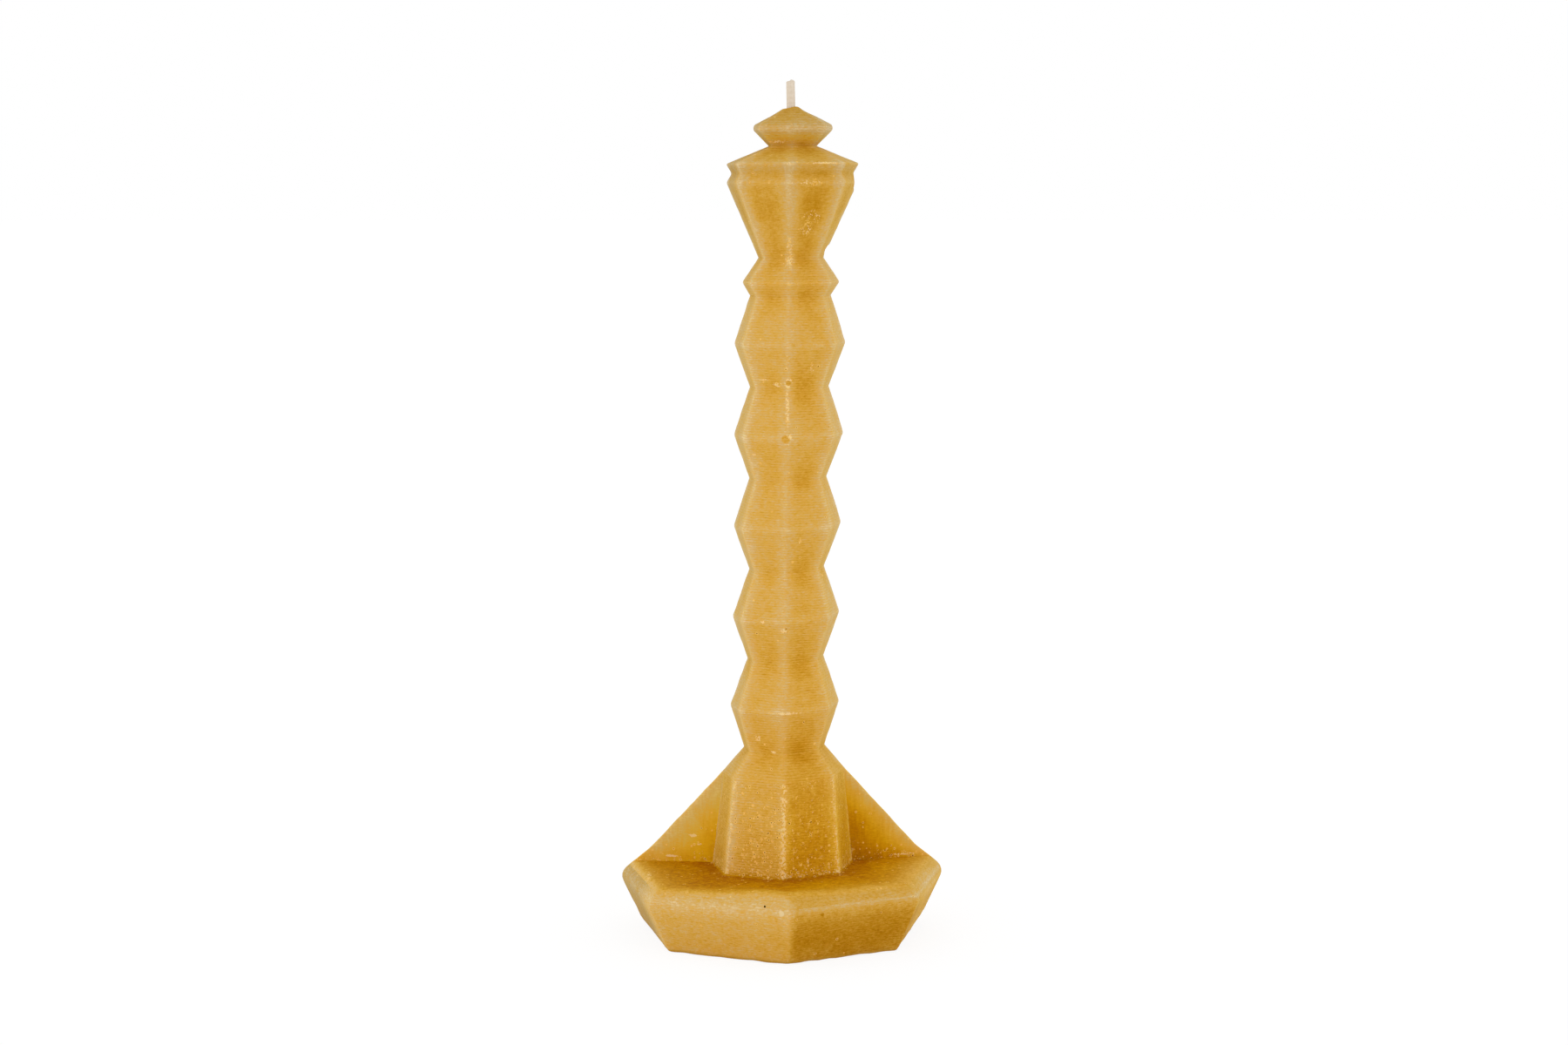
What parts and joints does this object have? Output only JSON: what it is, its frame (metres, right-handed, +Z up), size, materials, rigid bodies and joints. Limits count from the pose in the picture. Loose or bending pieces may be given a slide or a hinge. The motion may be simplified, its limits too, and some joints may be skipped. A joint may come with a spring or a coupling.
{
  "type": "geometric candle",
  "caption": "Faceted cast beeswax candle: a beaded stem under a crown and pointed cap, standing in a drip tray with upright sails behind it, and lit by a cotton wick.",
  "frame": {"origin": "on the candle's axis, on the flat foot that it stands on", "axes": "+Z up along the stem, -Y towards the open side of the drip tray, +X to the right seen from that side"},
  "size_m": [0.1, 0.0977, 0.2632],
  "materials": {
    "beeswax": "translucent ochre beeswax, satin, with fine horizontal casting lines",
    "wick_cotton": "undyed square-braided cotton, unburnt"
  },
  "bodies": {
    "root": {"wax_body": "beeswax", "wick": "wick_cotton"}
  },
  "joints": []
}
